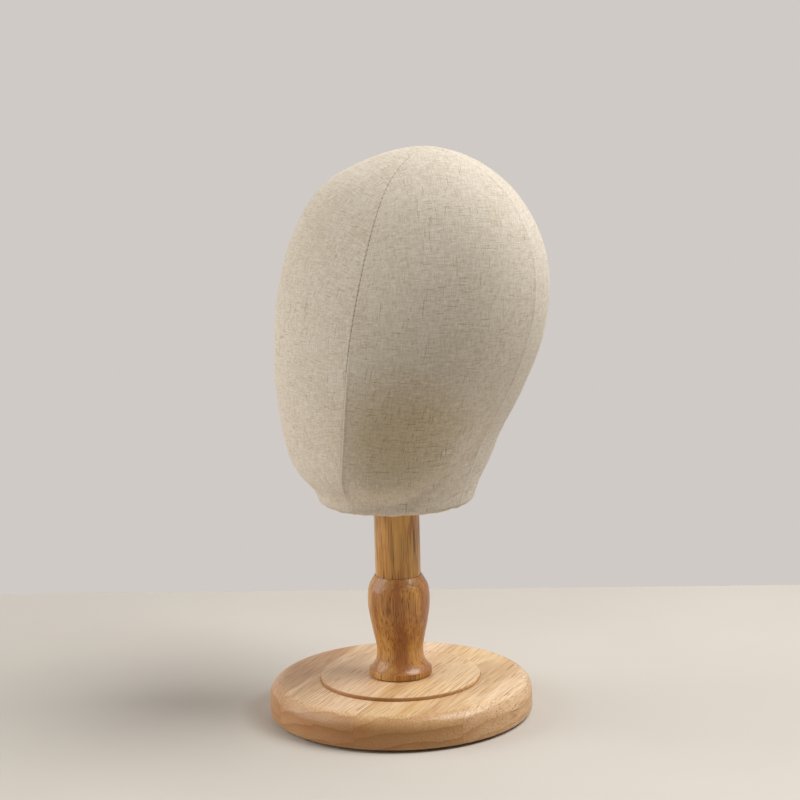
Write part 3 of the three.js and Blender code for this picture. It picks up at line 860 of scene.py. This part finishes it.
def gore_maps(quarter, ridges, seams, away, widths, middle):
    """The gore laid out flat, as metres across and along its threads, and where its needle marks (painted shade in
    the stitch holes) and the fold of its seam allowance (a painted highlight) are."""
    ring = widths / (math.pi / 2)
    closing = np.clip(smoothed(-np.gradient(ring, middle), 14), -0.9, 0.98)
    closing = np.where(np.abs(closing) < 1e-3, 1e-3, closing)[:, None]
    ring, width = ring[:, None], widths[:, None]
    swing = (away - width / 2) * closing / np.maximum(ring, 1e-6)
    across = ring / closing * np.sin(swing)
    along = middle[:, None] + ring / closing * (1 - np.cos(swing))
    near_first = away < width / 2
    beside = np.where(near_first, away, width - away)
    run = np.where(near_first, seams[0][:, None], seams[1][:, None])
    up = ROWS[:, None]
    needled = np.where(near_first, 1 - quarter % 2, quarter % 2) * ease(*NEEDLED_FROM, up)
    # Needle marks: painted shade in the stitch holes where the seam pulls open
    stitch_hole_shade = needled * stitch_pull(run) * ease(0.0008, 0.0003, beside)
    # The band along the fold of the seam allowance that gets a painted highlight
    fold_highlight_band = np.exp(-(((beside - 0.0008) / 0.0005) ** 2)) * ease(0.0, 0.02, up)
    fold_highlight = np.where(near_first, *ridges) * (1 - needled) * fold_highlight_band
    hem, columns = len(TUCK), away.shape[1]
    across = np.concatenate([np.repeat(across[:1], hem, 0), across])
    along = np.concatenate([np.repeat(-TUCK[:, :1], columns, 1), along])
    threads = np.stack([across, along], axis=-1) + np.array([0.31 * quarter, 0.17 * quarter])
    marks = np.concatenate([np.zeros((hem, columns, 2)), np.stack([stitch_hole_shade, fold_highlight], axis=-1)])
    return threads, marks


def sew_gore(name, node, quarter, ridges):
    """One gore of the cover, from the hem under the rim to the crown. ridges says how much each of its seams
    stands up on this gore's side, where the seam allowance is folded to, and how strong the painted highlight
    along that fold is."""
    table = [gore_turns(quarter, up) for up in ROWS]
    turns, away, widths = (np.array([row[k] for row in table]) for k in range(3))
    ups = np.broadcast_to(ROWS[:, None], turns.shape)
    seams = [SEAM_RUN[(quarter + k) % 4] for k in (0, 1)]
    points = skin(ups, turns)
    relief = tension(ups, turns, points)
    for k in (0, 1):
        run = seams[k][:, None]
        side = away if k == 0 else widths[:, None] - away
        relief = relief + seam_relief(side, run, ups, run[-1] - run, ridges[k], 1 - (quarter + k) % 2)
    from_pole = (seams[0][-1] - seams[0])[:, None]
    relief = relief + 0.0007 * np.exp(-((from_pole / 0.009) ** 2))  # where the four gores meet
    points = points + outward(ups, turns) * relief[..., None]
    height = ups * HEAD_HEIGHT
    points[..., 2] += rim_wave(turns) * np.exp(-height / 0.006) * (height < 0.03)
    points[-1] = points[-1].mean(axis=0)

    hem = []
    for inset, lift in TUCK:
        ring = points[0].copy()
        reach = np.hypot(ring[:, 0], ring[:, 1])
        ring[:, :2] *= ((reach - inset) / reach)[:, None]
        ring[:, 2] += lift
        hem.append(ring)
    points = np.concatenate([np.array(hem), points])
    count, columns = points.shape[:2]

    bpy.ops.mesh.primitive_grid_add(x_subdivisions=columns - 1, y_subdivisions=count - 1, size=2)
    piece = named(name)
    start = points_of(piece)
    column = np.rint((start[:, 0] + 1) / 2 * (columns - 1)).astype(int)
    row = np.rint((start[:, 1] + 1) / 2 * (count - 1)).astype(int)
    set_points(piece, points[row, column])
    while piece.data.uv_layers:
        piece.data.uv_layers.remove(piece.data.uv_layers[0])
    middle = lengths(skin(ROWS, (quarter + 0.5) * math.pi / 2))
    for layer, values in zip(("threads", "marks"), gore_maps(quarter, ridges, seams, away, widths, middle)):
        lay_map(piece, layer, values[row, column])
    edit(piece)
    bpy.ops.mesh.remove_doubles(threshold=2e-6)
    bpy.ops.object.mode_set(mode="OBJECT")
    thicken(piece, CLOTH_THICKNESS)
    settle(piece, LINEN, "head", "linen", node)


def fill_core():
    """The stuffing: the skin less the cloth, let in under the seams, with the block's pocket pushed up into it."""
    rings, facets = 150, 168
    bpy.ops.mesh.primitive_uv_sphere_add(segments=facets, ring_count=rings, radius=1)
    piece = named("stuffed_core")
    start = points_of(piece)
    ring = np.rint((1 - np.arccos(np.clip(start[:, 2], -1, 1)) / math.pi) * rings).astype(int)
    turn = np.arctan2(start[:, 1], start[:, 0]) % (2 * math.pi)
    roof = BLOCK_ROOF - 0.001
    pocket = [(1e-6, BLOCK_ROOF), (0.015, BLOCK_ROOF), (BLOCK_RADIUS - 0.001, BLOCK_ROOF), (BLOCK_RADIUS, roof)]
    pocket += [(BLOCK_RADIUS, z) for z in np.linspace(BLOCK_ROOF - 0.006, BLOCK_FLOOR + 0.001, 14)]
    floor = np.linspace(0, 1, 9)[1:-1]
    fixed = len(pocket) + len(floor)
    low = (BLOCK_FLOOR - HEAD_BOTTOM + 0.0004) / HEAD_HEIGHT
    up = low + (1 - low) * (1 - (1 - np.linspace(0, 1, rings + 1 - fixed)) ** 1.7)

    def form(share, bearing):
        beside = np.abs((bearing / (math.pi / 2) + 0.5) % 1 - 0.5) * math.pi / 2
        span = np.hypot(*np.moveaxis(skin(share, bearing)[..., :2], -1, 0))
        depth = 0.0014 + 0.0016 * np.exp(-((beside * span / 0.0045) ** 2)) * ease(1.0, 0.97, share)
        return skin(share, bearing) - outward(share, bearing) * depth[..., None]

    def round_at(reach, bearing, height):
        return np.stack([reach * np.cos(bearing), reach * np.sin(bearing), height], axis=-1)

    points = np.empty_like(start)
    outer = ring >= fixed
    points[outer] = form(up[ring[outer] - fixed], turn[outer])
    inner = ring < len(pocket)
    shape = np.array(pocket)[ring[inner]]
    points[inner] = round_at(shape[:, 0], turn[inner], shape[:, 1])
    flat = ~outer & ~inner
    share = floor[ring[flat] - len(pocket)]
    edge = form(np.full(flat.sum(), low), turn[flat])
    reach = np.hypot(edge[:, 0], edge[:, 1])
    wanted = BLOCK_RADIUS + 0.0006 + (reach - 0.0012 - BLOCK_RADIUS) * share
    points[flat] = round_at(wanted, np.arctan2(edge[:, 1], edge[:, 0]), np.full(flat.sum(), BLOCK_FLOOR))
    points[ring == rings] = skin(1.0, 0.0) - np.array([0, 0, 0.0016])
    set_points(piece, points)
    edit(piece)
    close_edit()
    smooth(piece, 45)
    settle(piece, STUFFING, "head", "filling", "head_core")


def sew_seam(name, quarter):
    """The thread of one seam, crossing from gore to gore and dipping under the cloth between stitches."""
    run = SEAM_RUN[quarter]
    turn = quarter * math.pi / 2
    s = np.arange(0.004, run[-1] - 0.004, STITCH_PITCH / 10)
    up = np.interp(s, run, ROWS)
    sideways = skin(up, turn + 1e-3) - skin(up, turn - 1e-3)
    sideways /= np.linalg.norm(sideways, axis=1, keepdims=True)
    swing = np.sin(math.pi * (s / STITCH_PITCH - 0.5))
    depth = 0.00075 + 0.0007 * swing**2
    path = skin(up, turn) - outward(up, turn) * depth[:, None] + sideways * (0.00055 * swing)[:, None]
    line = bpy.data.curves.new(name, "CURVE")
    line.dimensions = "3D"
    spline = line.splines.new("POLY")
    spline.points.add(len(path) - 1)
    weighted = np.concatenate([path, np.ones((len(path), 1))], axis=1)
    spline.points.foreach_set("co", weighted.astype(np.float32).ravel())
    line.bevel_depth = 0.00017
    line.bevel_resolution = 1
    line.use_fill_caps = True
    piece = bpy.data.objects.new(name, line)
    bpy.context.scene.collection.objects.link(piece)
    choose(piece)
    bpy.ops.object.convert(target="MESH")
    settle(bpy.context.object, THREAD, "head", "linen")


def close_underside():
    """The round of linen under the neck, its outer edge sewn to the turned-in gores and its inner edge round
    the sleeve."""
    spans = ((0.01455, 0.017, 4), (0.018, 0.046, 29), (0.0465, 0.0502, 9))
    outline = [(r, HEAD_BOTTOM) for span in spans for r in np.linspace(*span)]
    piece = pull_rings("underside_linen", outline, 240)
    close_edit()
    points = points_of(piece)
    reach, turn = np.hypot(points[:, 0], points[:, 1]), np.arctan2(points[:, 1], points[:, 0])
    pull = 0.5 - 0.5 * np.cos(turn * 62)
    gathers = 0.00022 * pull * ease(0.042, 0.0492, reach) * ease(0.0504, 0.0494, reach)
    sag = 0.00012 * np.sin(5 * turn + 1) ** 2 * ease(0.02, 0.034, reach) * ease(0.046, 0.036, reach)
    tuck = 0.0007 * ease(0.0496, 0.0503, reach)
    collar = 0.00035 * ease(0.0164, 0.0146, reach)
    points[:, 2] += gathers + sag + tuck + collar
    set_points(piece, points)
    lay_map(piece, "threads", points[:, :2] + 0.73)
    lay_map(piece, "marks", np.zeros((len(points), 2)))
    if piece.data.polygons[0].normal.z > 0:
        edit(piece)
        bpy.ops.mesh.flip_normals()
        bpy.ops.object.mode_set(mode="OBJECT")
    thicken(piece, 0.0005)
    settle(piece, LINEN, "head", "linen", "underside_cloth")


turn_base()
turn_post()
lay_felt()
fill_core()
sew_gore("linen_back_left", "cover_back_left", 0, (1.0, 1.0))
sew_gore("linen_back_right", "cover_back_right", 1, (0.0, 1.0))
sew_gore("linen_front_right", "cover_front_right", 2, (0.0, 0.0))
sew_gore("linen_front_left", "cover_front_left", 3, (1.0, 0.0))
for number, place in enumerate(("left_ear", "back", "right_ear", "front")):
    sew_seam("seam_thread_" + place, number)
close_underside()

for node, material in {
    "base_bolt": STEEL, "base_washer": STEEL, "post_insert": BRASS, "spigot_sleeve": NYLON, "neck_board": BOARD,
    "socket_block": BLOCK_WOOD, "board_screw_1": STEEL, "board_screw_2": STEEL, "board_screw_3": STEEL,
}.items():
    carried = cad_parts[node]
    if not carried.material_slots:
        carried.data.materials.append(material)
    for place in carried.material_slots:
        place.material = material

# ---------------------------------------- table, wall and lamps

TABLE_SIZE = (2.4, 4.4, 0.03)
TABLE_FAR_WAY = (-0.845, -0.535, 0)
TABLE_FAR_EDGE = 0.3265  # from the post's axis
# Ways from the head: to the wall behind it in the photograph, and to the left of the view, beyond the face
TO_WALL = (-0.815, -0.579, 0.0)
TO_LEFT = (0.579, -0.815, 0.0)
LAMPS_LOOK_AT = (0, 0, 0.2)
LAMP_DISTANCE = 1.5


def set_table():
    """A pale painted board, its far edge a little behind the stand."""
    far = Vector(TABLE_FAR_WAY).normalized()
    middle = far * (TABLE_FAR_EDGE - TABLE_SIZE[0] / 2) - Vector((0, 0, TABLE_SIZE[2] / 2))
    bpy.ops.mesh.primitive_cube_add(size=1, location=middle, rotation=(0, 0, math.atan2(far.y, far.x)))
    table = named("table_board")
    table.scale = TABLE_SIZE
    bpy.ops.object.transform_apply()
    rounding = table.modifiers.new("edge", "BEVEL")
    rounding.width = 0.001
    rounding.segments = 4
    bpy.ops.object.modifier_apply(modifier=rounding.name)
    material, bench = finish_of("painted_board", Roughness=0.75, Specular_IOR_Level=0.2)
    patch = handled(bench, bench.place(), 0.35)
    bench.feed(bench.shader.inputs["Base Color"], bench.blend(patch, (202, 196, 188), (209, 203, 194)))
    table.data.materials.append(material)


def light_up():
    """The room: a plain wall where it is seen, and soft light from the wall and from beyond the face."""
    world = bpy.data.worlds.new("room")
    bpy.context.scene.world = world
    world.use_nodes = True
    for node in list(world.node_tree.nodes):
        world.node_tree.nodes.remove(node)
    bench = Bench(world.node_tree)
    light = bench.add("LightPath", None, None).outputs
    seen = bench.math("ADD", light["Is Camera Ray"], light["Is Glossy Ray"])
    seen = bench.math("ADD", seen, light["Is Transmission Ray"], clamp=True)
    way = bench.add("TexCoord", None, None).outputs["Generated"]
    glow = (0.02, 0.017, 0.012)
    for towards, tint in ((TO_WALL, (0.69, 0.69, 0.69)), (TO_LEFT, (0.66, 0.60, 0.50))):
        facing = bench.math("MAXIMUM", bench.vector("DOT_PRODUCT", way, towards), 0.0)
        glow = bench.vector("ADD", glow, bench.vector("SCALE", tint, bench.math("MULTIPLY", facing, facing)))
    room = bench.add("Background", {"Color": glow, "Strength": 1.0})
    wall = bench.add("Background", {"Color": (207, 202, 198), "Strength": 1.0})
    bench.add("OutputWorld", {"Surface": bench.add("MixShader", {0: seen, 1: room, 2: wall})}, None)


def softbox(name, azimuth, elevation, size, watts, tint):
    """A square soft lamp that faces the head."""
    a, e = math.radians(azimuth), math.radians(elevation)
    back = Vector((math.sin(a) * math.cos(e), -math.cos(a) * math.cos(e), math.sin(e)))
    bpy.ops.object.light_add(type="AREA", location=Vector(LAMPS_LOOK_AT) + back * LAMP_DISTANCE)
    lamp = bpy.context.object
    lamp.name = name
    lamp.rotation_euler = (-back).to_track_quat("-Z", "Y").to_euler()
    lamp.data.shape = "SQUARE"
    lamp.data.size = size
    lamp.data.energy = watts
    lamp.data.color = tint


set_table()
light_up()
softbox("key_softbox", PHOTO_AZIMUTH + 79, 55, size=1.0, watts=28, tint=(1.0, 0.99, 0.98))
softbox("fill_softbox", PHOTO_AZIMUTH - 90, 21, size=1.3, watts=14, tint=(0.99, 0.98, 0.98))

bpy.context.scene.view_settings.view_transform = "Standard"
